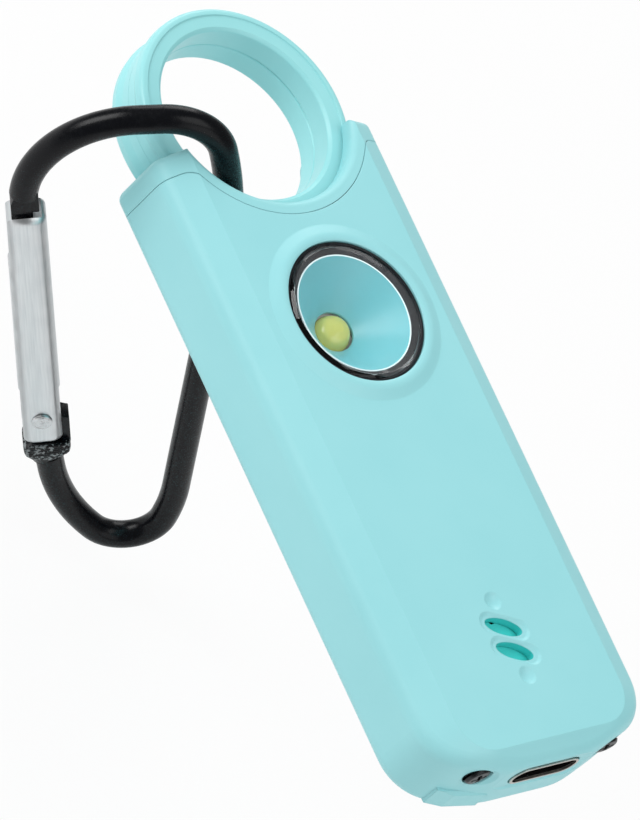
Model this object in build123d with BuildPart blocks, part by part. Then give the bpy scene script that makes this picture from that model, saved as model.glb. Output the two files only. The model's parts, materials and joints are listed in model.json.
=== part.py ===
"""Personal safety alarm with a pull ring and a carabiner.

The alarm lies on its flat back. X runs across it, Y along it towards the pull
ring, and Z out of its front face. The origin lies on the back face, 37.5 below
the top of the horns.
All sizes are in millimetres.
"""
import os
from math import atan2, degrees

from build123d import *

os.makedirs("parts", exist_ok=True)

# Case
case_width = 30.0
case_length = 74.6
case_depth = 10.8
wall = 1.3
corner_radius = 6.0
end_flat_half = 5.5
end_slope_rise = 2.9
end_soft_radius = 12.0
bevel_across = 3.6
bevel_down = 1.9
bevel_blend = 2.0
flat_half_width = 11.5
flat_end_y = -34.8
flat_corner_radius = 4.0
back_edge_radius = 2.0
half_width = case_width / 2
top_y = 37.5
end_y = top_y - case_length
cavity_end_y = -34.5
cavity_corner_radius = 5.5
cavity_bevel_across = 1.8
cavity_bevel_down = 1.0
core_gap = 0.12

# Pull ring and its seat
ring_y = 41.0
ring_outer_radius = 12.95
ring_inner_radius = 10.2
ring_step_radius = 10.6
ring_thickness = 6.6
ring_middle_z = case_depth / 2
ring_waist = 0.4
ring_edge = 0.9
ring_groove_radius = 12.0
seat_radius = 11.7
seam_radius = 13.4
seam_y = 34.8
seam_gap = 0.06
seam_corner_radius = 2.0
pocket_radius = 13.15
pocket_half = ring_thickness / 2 + 0.15
rim_softness = 0.8
horn_softness = 0.9

# Ring tongue, its magnet and the catch spring that grips it
tongue_width = 9.0
tongue_thickness = 3.6
tongue_low_y = 24.1
tongue_high_y = 30.0
tongue_slot_half_width = 5.1
tongue_slot_half_height = 2.05
tongue_slot_low_y = 23.5
magnet_radius = 1.2
magnet_length = 1.6
core_block_low_y = 22.6
catch_steel = 0.25
catch_width = 3.0
catch_bump_y = 26.4

# Lens and lamp
lens_y = 15.54
lens_opening_radius = 8.35
lip_radius = 10.8
lip_crown_radius = 9.1
lip_height = 0.5
window_radius = 7.95
window_thickness = 0.8
window_edge = 0.35
gasket_inner_radius = 6.95
gasket_outer_radius = 8.3
gasket_base_z = 9.95
gasket_base_thickness = 0.4
gasket_top_z = 11.0
window_bottom_z = gasket_base_z + gasket_base_thickness + 0.03
cup_rim_z = gasket_base_z + gasket_base_thickness - 0.02
cup_flange_z = 9.5
cone_top_radius = 6.82
cone_bottom_radius = 2.1
cone_bottom_z = 6.4
cup_skirt_radius = 4.5
cup_wall = 0.9
lamp_size = 4.6
lamp_base_height = 0.4
lamp_dome_radius = 1.95
lamp_dome_height = 1.5

# Board and what stands on it
board_bottom_z = 4.75
board_thickness = 0.8
board_top_z = board_bottom_z + board_thickness
board_half_width = 11.8
board_neck_half_width = 6.0
board_neck_y = -26.8
board_low_y = -33.2
board_high_y = 21.2
board_screw_places = [(-10.3, -11.6), (10.3, -11.6), (-10.3, 8.4), (10.3, 8.4)]
floor_top_z = 2.4
port_z = 6.95
port_width = 8.94
port_height = 3.26
port_sheet = 0.3
port_length = 6.8
port_mouth_y = -37.05
blade_width = 6.7
blade_thickness = 0.7
blade_setback = 0.9
plug_length = 1.4
scoop_width = 15.0
scoop_height = 6.2
scoop_z = 7.6
scoop_depth = 0.2
scoop_taper = 60.0
cell_width = 19.6
cell_length = 16.0
cell_thickness = 3.2
cell_y = -1.5
cell_bottom_z = 6.0

# Sounder
sounder_y = -20.6
sounder_radius = 8.6
sounder_wall = 0.7
sounder_top_z = 9.4
plate_z = 7.2
plate_radius = 7.5
plate_thickness = 0.2
ceramic_radius = 5.4
ceramic_thickness = 0.25
sound_hole_radius = 0.4
sound_cover = 0.4
outlet_x = 0.2
slot_places = [-21.95, -24.8]
dimple_places = [-19.0, -27.7]
slot_turn = -25.0
slot_half_length = 2.3
slot_half_width = 0.95
slot_recess_length = 6.2
slot_recess_width = 2.5
slot_recess_depth = 0.25
slot_recess_taper = 55.0
dimple_depth = 0.35
dimple_sphere = 1.75

# End screws
screw_x = 8.85
screw_z = 7.3
screw_seat_y = -35.3
screw_head_radius = 1.5
screw_head_height = 1.0
screw_shank_radius = 0.95
screw_length = 7.8
screw_hole_radius = 1.65
screw_dish_radius = 2.6
screw_dish_depth = 0.8
screw_cross_span = 1.9
screw_cross_width = 0.45
screw_cross_depth = 0.5

# Pad under the left screw, seen from the front
pad_corners = [(-5.6, -36.5), (-5.6, -37.05), (-9.8, -36.3), (-11.8, -35.4), (-11.8, -33.5)]
pad_low_z = 1.2
pad_height = 2.9
pad_edge = 0.4

# Inner core below the sleeve
core_half_width = 13.58
tray_half_width = 13.0
core_rail_inner_x = 12.1
core_rail_top_z = 6.5
core_floor_z = wall + core_gap
core_low_y = -33.9
tray_corner_radius = 5.5
boss_radius = 1.6
boss_hole_radius = 0.55
board_screw_shank_radius = 0.5
board_screw_head_radius = 1.3
board_screw_head_height = 0.8
board_screw_length = 2.4
board_screw_cross_span = 1.5
board_screw_cross_width = 0.35
end_boss_radius = 1.8
end_boss_low_y = -33.3
end_boss_high_y = -27.5
thread_fit = 0.02

# Small parts on the board: middle X, middle Y, length, width, height
controller_size = (4.0, 4.0, 0.9)
controller_place = (-8.0, 14.0)
charge_size = (2.9, 1.6, 1.1)
charge_place = (8.0, 16.5)
sensor_size = (2.9, 1.4, 1.0)
sensor_place = (3.8, 20.4)
coil_place = (4.0, 14.0)
coil_flange_radius = 2.6
coil_hub_radius = 1.2
coil_winding_radius = 2.3
coil_height = 1.9
coil_flange = 0.4
solder_gap = 0.03
lead_radius = 0.3

# Carabiner, drawn flat in its own plane. The plane leans back from the ring, so
# that the loop goes over the ring's wall and down through its hole.
clip_plane = Plane(
    origin=(-5.701, 31.274, -17.071),
    x_dir=(0.80468, -0.32506, 0.49682),
    z_dir=(-0.44346, -0.88547, 0.1389),
)
wire_radius = 1.55
nose = (-10.05, 21.58)
loop_corners = [
    (-8.66, 32.48, 11.62),
    (10.4, 31.47, 6.73),
    (12.2, 17.14, 62.6),
    (4.96, -32.46, 22.6),
    (0.78, -43.17, 4.58),
    (-7.78, -30.81, 23.5),
]
loop_end = (-8.6, -22.31)
rivet_place = (-9.23, -14.72)
rivet_radius = 0.75
rivet_head_radius = 1.15
rivet_head_height = 0.35
rivet_fit = 0.05

# Gate, measured from the rivet along its own length
gate_top = 33.8
gate_bottom = -4.3
gate_top_half_width = 2.2
gate_bottom_half_width = 2.3
gate_half_thickness = 1.8
gate_sheet = 0.45
gate_web_bottom = 5.0
gate_back_top = 25.2
gate_edge_radius = 1.0
gate_corner_radius = 1.3
gate_top_corner_radius = 0.6
tang_half_thickness = 1.0
tang_half_width = 1.4
nose_root = 38.0
block_top = -4.6
block_bottom = -7.9
ear_half_width = 3.0
ear_top = -0.7
latch_tab_bottom = 31.5
spring_wire_radius = 0.18
spring_coil_radius = 0.85
spring_pitch = 0.75
spring_turns = 10
spring_start = 1.75
spring_across = 0.2
stop_tab = 0.4


def case_plan():
    """Plan of the whole case: straight sides and an end that slopes back to both corners."""
    with BuildSketch() as plan:
        with BuildLine():
            Polyline(
                (-half_width, top_y),
                (-half_width, end_y + end_slope_rise),
                (-end_flat_half, end_y),
                (end_flat_half, end_y),
                (half_width, end_y + end_slope_rise),
                (half_width, top_y),
                close=True,
            )
        make_face()
        fillet(plan.vertices().group_by(Axis.Y)[0], radius=end_soft_radius)
        sides = plan.vertices().filter_by(lambda corner: abs(corner.Y - end_y - end_slope_rise) < 0.01)
        fillet(sides, radius=corner_radius)
    return plan.sketch


def above_seam(gap=0.0):
    """Everything above the seam: a straight run at each side and a round bay between."""
    with BuildSketch() as region:
        with Locations((0, seam_y + gap + 10)):
            Rectangle(case_width + 4, 20)
        with Locations((0, ring_y)):
            Circle(seam_radius - gap)
        bay_corners = region.vertices().filter_by(
            lambda corner: abs(corner.Y - seam_y - gap) < 0.01 and abs(corner.X) < half_width
        )
        fillet(bay_corners, radius=seam_corner_radius + gap)
    return region.sketch


def save(part, name):
    """Label a finished piece and write it to its own file."""
    part.label = name
    export_step(part, f"parts/{name}.step")


# A roof over the case: a flat with a straight lower end, and a bevel all round it
with BuildPart() as case_roof:
    with BuildSketch(Plane.XY.offset(case_depth - bevel_down)) as roof_plan:
        foot_half_width = flat_half_width + bevel_across
        foot_low_y = flat_end_y - bevel_across
        foot_high_y = top_y + 2 * bevel_across
        with Locations((0, (foot_low_y + foot_high_y) / 2)):
            Rectangle(2 * foot_half_width, foot_high_y - foot_low_y)
        fillet(roof_plan.vertices().group_by(Axis.Y)[0], radius=flat_corner_radius + bevel_across)
    bevel_angle = degrees(atan2(bevel_across, bevel_down))
    extrude(amount=bevel_down, taper=bevel_angle)
    extrude(roof_plan.sketch, amount=-case_depth)

# The whole outside of the case, cut below into sleeve and core
with BuildPart() as case_block:
    add(case_plan())
    extrude(amount=case_depth)
    add(case_roof.part, mode=Mode.INTERSECT)
    below_top = case_block.edges().filter_by(lambda edge: edge.center().Y < top_y - 0.1)
    bevel_foot = below_top.filter_by(
        lambda edge: case_depth - bevel_down - 0.1 < edge.center().Z < case_depth - 0.1
        and edge.bounding_box().size.Z < edge.length * 0.4
        and (abs(edge.center().X) > flat_half_width + 1 or edge.center().Y < flat_end_y - 0.3)
    )
    fillet(bevel_foot, radius=bevel_blend)
    back_face = case_block.faces().sort_by(Axis.Z)[0]
    back_rim = back_face.edges().filter_by(lambda edge: edge.center().Y < top_y - 0.1)
    fillet(back_rim, radius=back_edge_radius)

# The hollow of the sleeve, and the same shape a little smaller for the core
with BuildPart() as sleeve_hollow:
    with BuildSketch(Plane.XY.offset(wall)):
        with BuildLine():
            Polyline(
                (-half_width + wall, top_y + 1),
                (-half_width + wall, cavity_end_y),
                (half_width - wall, cavity_end_y),
                (half_width - wall, top_y + 1),
                close=True,
            )
        make_face()
    extrude(amount=case_depth - 2 * wall)
    fillet(sleeve_hollow.edges().filter_by(Axis.Z).group_by(Axis.Y)[0], radius=cavity_corner_radius)
    hollow_top = sleeve_hollow.faces().sort_by(Axis.Z)[-1]
    hollow_rim = hollow_top.edges().filter_by(lambda edge: edge.center().Y < top_y)
    chamfer(hollow_rim, length=cavity_bevel_across, length2=cavity_bevel_down, reference=hollow_top)
    hollow_back = sleeve_hollow.faces().sort_by(Axis.Z)[0].edges()
    fillet(hollow_back.filter_by(lambda edge: edge.center().Y < top_y), radius=0.9)

# Low pad on the lower end, under the left screw
with BuildPart() as end_pad:
    with BuildSketch(Plane.XY.offset(pad_low_z)):
        with BuildLine():
            Polyline(*pad_corners, close=True)
        make_face()
    extrude(amount=pad_height)
    pad_top_edges = end_pad.edges().group_by(Axis.Z)[-1]
    chamfer(pad_top_edges.filter_by(lambda edge: edge.center().Y < end_y + 1), length=pad_edge)

# Outer sleeve: closed at the lower end, open at the seam
with BuildPart() as outer_sleeve:
    add(case_block.part)
    with BuildSketch(Plane.XY.offset(-1)):
        add(above_seam())
    extrude(amount=case_depth + 2, mode=Mode.SUBTRACT)
    # Soft raised lip round the lens
    with BuildSketch(Plane.XZ.offset(-lens_y)):
        with BuildLine():
            lip_outer = (lip_radius, case_depth - 0.05)
            lip_crown = (lip_crown_radius, case_depth + lip_height)
            lip_inner = (lens_opening_radius - 0.2, case_depth + lip_height - 0.3)
            lip_root_z = case_depth - 0.6
            Spline(lip_outer, lip_crown, lip_inner, tangents=[(-1, 0.12), (-0.7, -1)])
            Polyline(lip_inner, (lip_inner[0], lip_root_z), (lip_radius, lip_root_z), lip_outer)
        make_face()
    revolve(axis=Axis((0, lens_y, 0), (0, 0, 1)))
    # Raised pad under the left screw
    add(end_pad.part)
    add(sleeve_hollow.part, mode=Mode.SUBTRACT)
    # Lens opening
    with BuildSketch(Plane.XY.offset(wall + 2)):
        with Locations((0, lens_y)):
            Circle(lens_opening_radius)
    extrude(amount=case_depth, mode=Mode.SUBTRACT)
    # Sound outlet: two slanted slots in shallow recesses and two dimples
    slot_spots = [Location((outlet_x, place, 0), slot_turn) for place in slot_places]
    with BuildSketch(Plane.XY.offset(case_depth)):
        with Locations(slot_spots):
            SlotOverall(slot_recess_length, slot_recess_width)
    extrude(amount=-slot_recess_depth, taper=slot_recess_taper, mode=Mode.SUBTRACT)
    with BuildSketch(Plane.XY.offset(case_depth - 2 * wall)):
        with Locations(slot_spots):
            Ellipse(slot_half_length, slot_half_width)
    extrude(amount=2 * wall + 1, mode=Mode.SUBTRACT)
    sphere_z = case_depth - dimple_depth + dimple_sphere
    with Locations([(outlet_x, place, sphere_z) for place in dimple_places]):
        Sphere(dimple_sphere, mode=Mode.SUBTRACT)
    # Scoop and mouth for the port
    with BuildSketch(Plane.XZ.offset(-end_y)):
        with Locations((0, scoop_z)):
            SlotOverall(scoop_width, scoop_height)
    extrude(amount=-scoop_depth, taper=scoop_taper, mode=Mode.SUBTRACT)
    with BuildSketch(Plane.XZ.offset(-end_y)):
        with Locations((0, port_z)):
            SlotOverall(port_width + 0.3, port_height + 0.3)
    extrude(amount=-5, mode=Mode.SUBTRACT)
    # Screw recesses in shallow dishes, and their through holes
    with BuildSketch(Plane.XZ.offset(-end_y)):
        with Locations((-screw_x, screw_z), (screw_x, screw_z)):
            Circle(screw_dish_radius)
    extrude(amount=-screw_dish_depth, taper=45, mode=Mode.SUBTRACT)
    with BuildSketch(Plane.XZ.offset(-end_y)):
        with Locations((-screw_x, screw_z), (screw_x, screw_z)):
            Circle(screw_hole_radius)
    extrude(amount=-(screw_seat_y - end_y), mode=Mode.SUBTRACT)
    with BuildSketch(Plane.XZ.offset(-end_y)):
        with Locations((-screw_x, screw_z), (screw_x, screw_z)):
            Circle(screw_shank_radius + 0.15)
    extrude(amount=-5, mode=Mode.SUBTRACT)
save(outer_sleeve.part, "outer_sleeve")

# Inner core: the collar that shows above the seam, a block and a tray under the sleeve
with BuildPart() as core_chassis:
    add(case_block.part)
    with BuildSketch(Plane.XY.offset(-1)):
        add(above_seam(gap=seam_gap))
    extrude(amount=case_depth + 2, mode=Mode.INTERSECT)
    horn_corners = core_chassis.edges().filter_by(Axis.Z).group_by(Axis.Y)[-1]
    fillet(horn_corners, radius=horn_softness)
    # Block that carries the tongue slot
    block_top_z = case_depth - wall - core_gap
    with BuildSketch(Plane.XZ.offset(-core_block_low_y)):
        with BuildLine():
            Polyline(
                (core_half_width - 0.6, core_floor_z),
                (core_half_width, core_floor_z + 0.6),
                (core_half_width, block_top_z - cavity_bevel_down),
                (core_half_width - cavity_bevel_across, block_top_z),
                (0, block_top_z),
                (0, core_floor_z),
                close=True,
            )
        make_face()
        mirror(about=Plane.YZ)
    extrude(amount=-(seam_y + 1 - core_block_low_y))
    # Tray floor with its two side rails
    with BuildSketch(Plane.XY.offset(core_floor_z)) as tray_plan:
        with Locations((0, (core_low_y + core_block_low_y + 0.4) / 2)):
            Rectangle(2 * tray_half_width, core_block_low_y - core_low_y + 0.4)
        fillet(tray_plan.vertices().group_by(Axis.Y)[0], radius=tray_corner_radius)
    extrude(amount=floor_top_z - core_floor_z)
    with BuildSketch(Plane.XY.offset(core_floor_z)):
        rail_width = tray_half_width - core_rail_inner_x
        rail_middle = core_rail_inner_x + rail_width / 2
        with Locations((-rail_middle, -2.5), (rail_middle, -2.5)):
            Rectangle(rail_width, 2 * (core_block_low_y + 2.5) + 0.4)
    extrude(amount=core_rail_top_z - core_floor_z)
    # Bosses under the board
    with BuildSketch(Plane.XY.offset(floor_top_z)):
        with Locations(board_screw_places):
            Circle(boss_radius)
    extrude(amount=board_bottom_z - floor_top_z)
    with BuildSketch(Plane.XY.offset(board_bottom_z)):
        with Locations(board_screw_places):
            Circle(boss_hole_radius)
    extrude(amount=-(board_screw_length - board_thickness + 0.2), mode=Mode.SUBTRACT)
    # Bosses for the two end screws
    with BuildSketch(Plane.XZ.offset(-end_boss_low_y)):
        with Locations((-screw_x, screw_z), (screw_x, screw_z)):
            Circle(end_boss_radius)
        with Locations((-screw_x, (screw_z + floor_top_z) / 2), (screw_x, (screw_z + floor_top_z) / 2)):
            Rectangle(2 * end_boss_radius, screw_z - floor_top_z + 0.4)
    extrude(amount=-(end_boss_high_y - end_boss_low_y))
    with BuildSketch(Plane.XZ.offset(-end_boss_low_y)):
        with Locations((-screw_x, screw_z), (screw_x, screw_z)):
            Circle(screw_shank_radius + thread_fit)
    extrude(amount=-(end_boss_high_y - end_boss_low_y), mode=Mode.SUBTRACT)
    # Round seat for a finger, the pocket that the ring sits in, and the tongue slot
    with BuildSketch(Plane.XY.offset(-1)):
        with Locations((0, ring_y)):
            Circle(seat_radius)
    extrude(amount=case_depth + 2, mode=Mode.SUBTRACT)
    # Softened rim of the seat on the front face, the same on the back
    with BuildSketch(Plane.XZ.offset(-ring_y)):
        with BuildLine():
            rim_low = (seat_radius, case_depth - rim_softness)
            rim_high = (seat_radius + rim_softness, case_depth)
            RadiusArc(rim_low, rim_high, rim_softness)
            Polyline(rim_high, (rim_high[0], case_depth + 1), (seat_radius - 1, case_depth + 1))
            Polyline((seat_radius - 1, case_depth + 1), (seat_radius - 1, rim_low[1]), rim_low)
        make_face()
        mirror(about=Plane.XY.offset(ring_middle_z))
    revolve(axis=Axis((0, ring_y, 0), (0, 0, 1)), mode=Mode.SUBTRACT)
    with BuildSketch(Plane.XY.offset(ring_middle_z - pocket_half)):
        with Locations((0, ring_y)):
            Circle(pocket_radius)
    extrude(amount=2 * pocket_half, mode=Mode.SUBTRACT)
    with BuildSketch(Plane.XY.offset(ring_middle_z - tongue_slot_half_height)):
        with Locations((0, (tongue_slot_low_y + ring_y - seat_radius) / 2)):
            Rectangle(2 * tongue_slot_half_width, ring_y - seat_radius - tongue_slot_low_y)
    extrude(amount=2 * tongue_slot_half_height, mode=Mode.SUBTRACT)
save(core_chassis.part, "core_chassis")

# Spring clip in the slot: a base, two arms and a bump on each arm
with BuildPart() as catch_spring:
    arm_outer = tongue_slot_half_width - 0.15
    base_y = tongue_slot_low_y + 0.05
    with BuildSketch(Plane.XY.offset(ring_middle_z - catch_width / 2)):
        with Locations((0, base_y + catch_steel / 2)):
            Rectangle(2 * arm_outer, catch_steel)
        arm_length = ring_y - pocket_radius - base_y
        arm_middle = (arm_outer - catch_steel / 2, base_y + arm_length / 2)
        with Locations(arm_middle, (-arm_middle[0], arm_middle[1])):
            Rectangle(catch_steel, arm_length)
        with Locations((arm_outer - catch_steel, catch_bump_y), (catch_steel - arm_outer, catch_bump_y)):
            SlotOverall(0.9, 0.34, rotation=90)
    extrude(amount=catch_width)
save(catch_spring.part, "catch_spring")

# One ring half as a turned profile: a soft outer edge, a waist, a face groove and a
# stepped inner edge. The other half is its mirror image.
with BuildPart() as ring_blank:
    face_z = ring_middle_z + ring_thickness / 2
    groove_depth = 0.17
    with BuildSketch(Plane.XZ.offset(-ring_y)):
        with BuildLine():
            Line((ring_inner_radius, ring_middle_z), (ring_inner_radius, face_z - 0.5))
            Line((ring_inner_radius, face_z - 0.5), (ring_step_radius, face_z - groove_depth))
            Line((ring_step_radius, face_z - groove_depth), (ring_groove_radius, face_z - groove_depth))
            Line((ring_groove_radius, face_z - groove_depth), (ring_groove_radius, face_z))
            lip = (ring_outer_radius, face_z - ring_edge)
            RadiusArc((ring_groove_radius, face_z), lip, ring_edge + 0.05)
            waist_radius = ring_outer_radius - ring_waist
            Line(lip, (waist_radius, face_z - 2.0))
            Line((waist_radius, face_z - 2.0), (waist_radius, ring_middle_z))
            Line((waist_radius, ring_middle_z), (ring_inner_radius, ring_middle_z))
        make_face()
    revolve(axis=Axis((0, ring_y, 0), (0, 0, 1)))
    # Pocket that holds the root of the tongue
    with BuildSketch(Plane.XY.offset(ring_middle_z)):
        with Locations((0, tongue_high_y - 2)):
            Rectangle(tongue_width + 0.1, 4.1)
    extrude(amount=tongue_thickness / 2 + 0.05, mode=Mode.SUBTRACT)

with BuildPart() as ring_front:
    add(ring_blank.part)
save(ring_front.part, "ring_front")

with BuildPart() as ring_rear:
    add(ring_blank.part)
    mirror(about=Plane.XY.offset(ring_middle_z), mode=Mode.REPLACE)
save(ring_rear.part, "ring_rear")

# Flat tongue that the ring halves clamp, with a blind hole for the magnet
with BuildPart() as ring_tongue:
    with BuildSketch(Plane.XZ.offset(-tongue_low_y)):
        RectangleRounded(tongue_width, tongue_thickness, 0.4)
    extrude(amount=-(tongue_high_y - tongue_low_y))
    with BuildSketch(Plane.XZ.offset(-tongue_low_y)):
        Circle(magnet_radius + 0.03)
    extrude(amount=-(magnet_length + 0.05), mode=Mode.SUBTRACT)
ring_tongue_placed = Pos(0, 0, ring_middle_z) * ring_tongue.part
save(ring_tongue_placed, "ring_tongue")

with BuildPart() as tongue_magnet:
    with BuildSketch(Plane.XZ.offset(-tongue_low_y)):
        with Locations((0, ring_middle_z)):
            Circle(magnet_radius)
    extrude(amount=-magnet_length)
save(tongue_magnet.part, "tongue_magnet")

# Lens window, its gasket and the cup under it
with BuildPart() as lens_window:
    with BuildSketch(Plane.XY.offset(window_bottom_z)):
        with Locations((0, lens_y)):
            Circle(window_radius)
    extrude(amount=window_thickness)
    chamfer(lens_window.edges().group_by(Axis.Z)[-1], length=window_edge)
save(lens_window.part, "lens_window")

with BuildPart() as lens_gasket:
    with BuildSketch(Plane.XZ.offset(-lens_y)):
        with BuildLine():
            Polyline(
                (gasket_inner_radius, gasket_base_z),
                (gasket_outer_radius, gasket_base_z),
                (gasket_outer_radius, gasket_top_z),
                (window_radius + 0.03, gasket_top_z),
                (window_radius + 0.03, gasket_base_z + gasket_base_thickness),
                (gasket_inner_radius, gasket_base_z + gasket_base_thickness),
                close=True,
            )
        make_face()
    revolve(axis=Axis((0, lens_y, 0), (0, 0, 1)))
save(lens_gasket.part, "lens_gasket")

with BuildPart() as reflector_cup:
    with BuildSketch(Plane.XZ.offset(-lens_y)):
        with BuildLine():
            Polyline(
                (cone_top_radius, cup_rim_z),
                (cone_bottom_radius, cone_bottom_z + 0.3),
                (cone_bottom_radius, cone_bottom_z),
                (cup_skirt_radius - cup_wall, cone_bottom_z),
                (cup_skirt_radius - cup_wall, board_top_z + solder_gap),
                (cup_skirt_radius, board_top_z + solder_gap),
                (cup_skirt_radius, cone_bottom_z + 1.0),
                (gasket_inner_radius + 0.3, cup_flange_z),
                (gasket_outer_radius, cup_flange_z),
                (gasket_outer_radius, gasket_base_z - solder_gap),
                (gasket_inner_radius - solder_gap, gasket_base_z - solder_gap),
                (gasket_inner_radius - solder_gap, cup_rim_z),
                close=True,
            )
        make_face()
    revolve(axis=Axis((0, lens_y, 0), (0, 0, 1)))
save(reflector_cup.part, "reflector_cup")

# Lamp: a square base and a dome on it
with BuildPart() as lamp_base:
    with BuildSketch(Plane.XY.offset(board_top_z + solder_gap)):
        with Locations((0, lens_y)):
            RectangleRounded(lamp_size, lamp_size, 0.4)
    extrude(amount=lamp_base_height)
save(lamp_base.part, "lamp_base")

with BuildPart() as lamp_dome:
    dome_z = board_top_z + solder_gap + lamp_base_height
    with BuildSketch(Plane.XZ.offset(-lens_y)):
        with BuildLine():
            dome_sphere = (lamp_dome_radius**2 + lamp_dome_height**2) / (2 * lamp_dome_height)
            RadiusArc((lamp_dome_radius, dome_z), (0, dome_z + lamp_dome_height), -dome_sphere)
            Polyline((0, dome_z + lamp_dome_height), (0, dome_z), (lamp_dome_radius, dome_z))
        make_face()
    revolve(axis=Axis((0, lens_y, 0), (0, 0, 1)))
save(lamp_dome.part, "lamp_dome")

# Board: wide between the rails, a narrow neck between the end bosses
with BuildPart() as main_board:
    with BuildSketch(Plane.XY.offset(board_bottom_z)):
        with BuildLine():
            Polyline(
                (-board_half_width, board_high_y),
                (-board_half_width, board_neck_y),
                (-board_neck_half_width, board_neck_y),
                (-board_neck_half_width, board_low_y),
                (board_neck_half_width, board_low_y),
                (board_neck_half_width, board_neck_y),
                (board_half_width, board_neck_y),
                (board_half_width, board_high_y),
                close=True,
            )
        make_face()
        with Locations(board_screw_places):
            Circle(board_screw_shank_radius + 0.15, mode=Mode.SUBTRACT)
        # Notch that the charging port is sunk into
        notch_top_y = port_mouth_y + port_length + 0.2
        with Locations((0, notch_top_y)):
            Rectangle(port_width + 0.3, 2 * (notch_top_y - board_low_y), mode=Mode.SUBTRACT)
    extrude(amount=board_thickness)
save(main_board.part, "main_board")

# Board screws: one node for all of them
with BuildPart() as board_screws:
    with BuildSketch(Plane.XY.offset(board_top_z)):
        with Locations(board_screw_places):
            Circle(board_screw_head_radius)
    extrude(amount=board_screw_head_height)
    with BuildSketch(Plane.XY.offset(board_top_z)):
        with Locations(board_screw_places):
            Circle(board_screw_shank_radius)
    extrude(amount=-board_screw_length)
    with BuildSketch(Plane.XY.offset(board_top_z + board_screw_head_height)):
        with Locations(board_screw_places):
            Rectangle(board_screw_cross_span, board_screw_cross_width)
            Rectangle(board_screw_cross_width, board_screw_cross_span)
    extrude(amount=-board_screw_head_height / 2, mode=Mode.SUBTRACT)
save(board_screws.part, "board_screws")

# End screws with a cross recess, one node for both
with BuildPart() as end_screws:
    screw_spots = [(-screw_x, screw_z), (screw_x, screw_z)]
    head_face_y = screw_seat_y - screw_head_height
    with BuildSketch(Plane.XZ.offset(-head_face_y)):
        with Locations(screw_spots):
            Circle(screw_head_radius)
    extrude(amount=-screw_head_height)
    chamfer(end_screws.edges().group_by(Axis.Y)[0], length=0.3)
    with BuildSketch(Plane.XZ.offset(-screw_seat_y)):
        with Locations(screw_spots):
            Circle(screw_shank_radius)
    extrude(amount=-screw_length)
    with BuildSketch(Plane.XZ.offset(-head_face_y)):
        with Locations(screw_spots):
            Rectangle(screw_cross_span, screw_cross_width)
            Rectangle(screw_cross_width, screw_cross_span)
    extrude(amount=-screw_cross_depth, mode=Mode.SUBTRACT)
save(end_screws.part, "end_screws")

# Charging port: a rounded metal shell and the blade inside it
with BuildPart() as port_shell:
    with BuildSketch(Plane.XZ.offset(-port_mouth_y)):
        with Locations((0, port_z)):
            RectangleRounded(port_width, port_height, port_height / 2 - 0.01)
            RectangleRounded(
                port_width - 2 * port_sheet,
                port_height - 2 * port_sheet,
                port_height / 2 - port_sheet - 0.01,
                mode=Mode.SUBTRACT,
            )
    extrude(amount=-port_length)
save(port_shell.part, "port_shell")

with BuildPart() as port_tongue:
    blade_start_y = port_mouth_y + blade_setback
    plug_start_y = port_mouth_y + port_length - plug_length
    with BuildSketch(Plane.XZ.offset(-blade_start_y)):
        with Locations((0, port_z)):
            Rectangle(blade_width, blade_thickness)
    extrude(amount=-(plug_start_y - blade_start_y))
    with BuildSketch(Plane.XZ.offset(-plug_start_y)):
        with Locations((0, port_z)):
            RectangleRounded(port_width - 0.74, port_height - 0.76, 1.2)
    extrude(amount=-plug_length)
save(port_tongue.part, "port_tongue")

# Battery cell, the pad under it and its two leads
with BuildPart() as battery_cell:
    with BuildSketch(Plane.XY.offset(cell_bottom_z)):
        with Locations((0, cell_y)):
            Rectangle(cell_width, cell_length)
    extrude(amount=cell_thickness)
    fillet(battery_cell.edges().filter_by(Axis.Y), radius=1.2)
    fillet(battery_cell.edges().filter_by(Axis.Z), radius=0.4)
save(battery_cell.part, "battery_cell")

with BuildPart() as cell_pad:
    with BuildSketch(Plane.XY.offset(board_top_z + solder_gap)):
        with Locations((0, cell_y)):
            Rectangle(cell_width - 4, cell_length - 4)
    extrude(amount=cell_bottom_z - board_top_z - 2 * solder_gap)
save(cell_pad.part, "cell_pad")

with BuildPart() as battery_leads:
    for lead_x in (-8.0, -6.4):
        lead_start_y = cell_y + cell_length / 2 + solder_gap
        with BuildLine() as lead_path:
            lead_bend = (lead_x, lead_start_y + 2.6, 7.4)
            Polyline((lead_x, lead_start_y, 7.4), lead_bend, (lead_x, lead_bend[1], board_top_z + solder_gap))
            fillet(lead_path.vertices().sort_by_distance(lead_bend)[0], radius=0.9)
        with BuildSketch(Plane(origin=lead_path.line @ 0, z_dir=lead_path.line % 0)):
            Circle(lead_radius)
        sweep(path=lead_path.line)
save(battery_leads.part, "battery_leads")

# Sounder: a covered cup, a brass plate glued under its ledge and a ceramic disc under that
with BuildPart() as sound_cup:
    with BuildSketch(Plane.XZ.offset(-sounder_y)):
        with BuildLine():
            ledge_radius = plate_radius - 0.6
            inner_radius = sounder_radius - sounder_wall
            ledge_z = plate_z + plate_thickness + solder_gap
            Polyline(
                (inner_radius, board_top_z + solder_gap),
                (sounder_radius, board_top_z + solder_gap),
                (sounder_radius, sounder_top_z),
                (sound_hole_radius, sounder_top_z),
                (sound_hole_radius, sounder_top_z - sound_cover),
                (ledge_radius, sounder_top_z - sound_cover),
                (ledge_radius, ledge_z),
                (inner_radius, ledge_z),
                close=True,
            )
        make_face()
    revolve(axis=Axis((0, sounder_y, 0), (0, 0, 1)))
save(sound_cup.part, "sound_cup")

with BuildPart() as sounder_plate:
    with BuildSketch(Plane.XY.offset(plate_z)):
        with Locations((0, sounder_y)):
            Circle(plate_radius)
    extrude(amount=plate_thickness)
save(sounder_plate.part, "sounder_plate")

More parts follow.
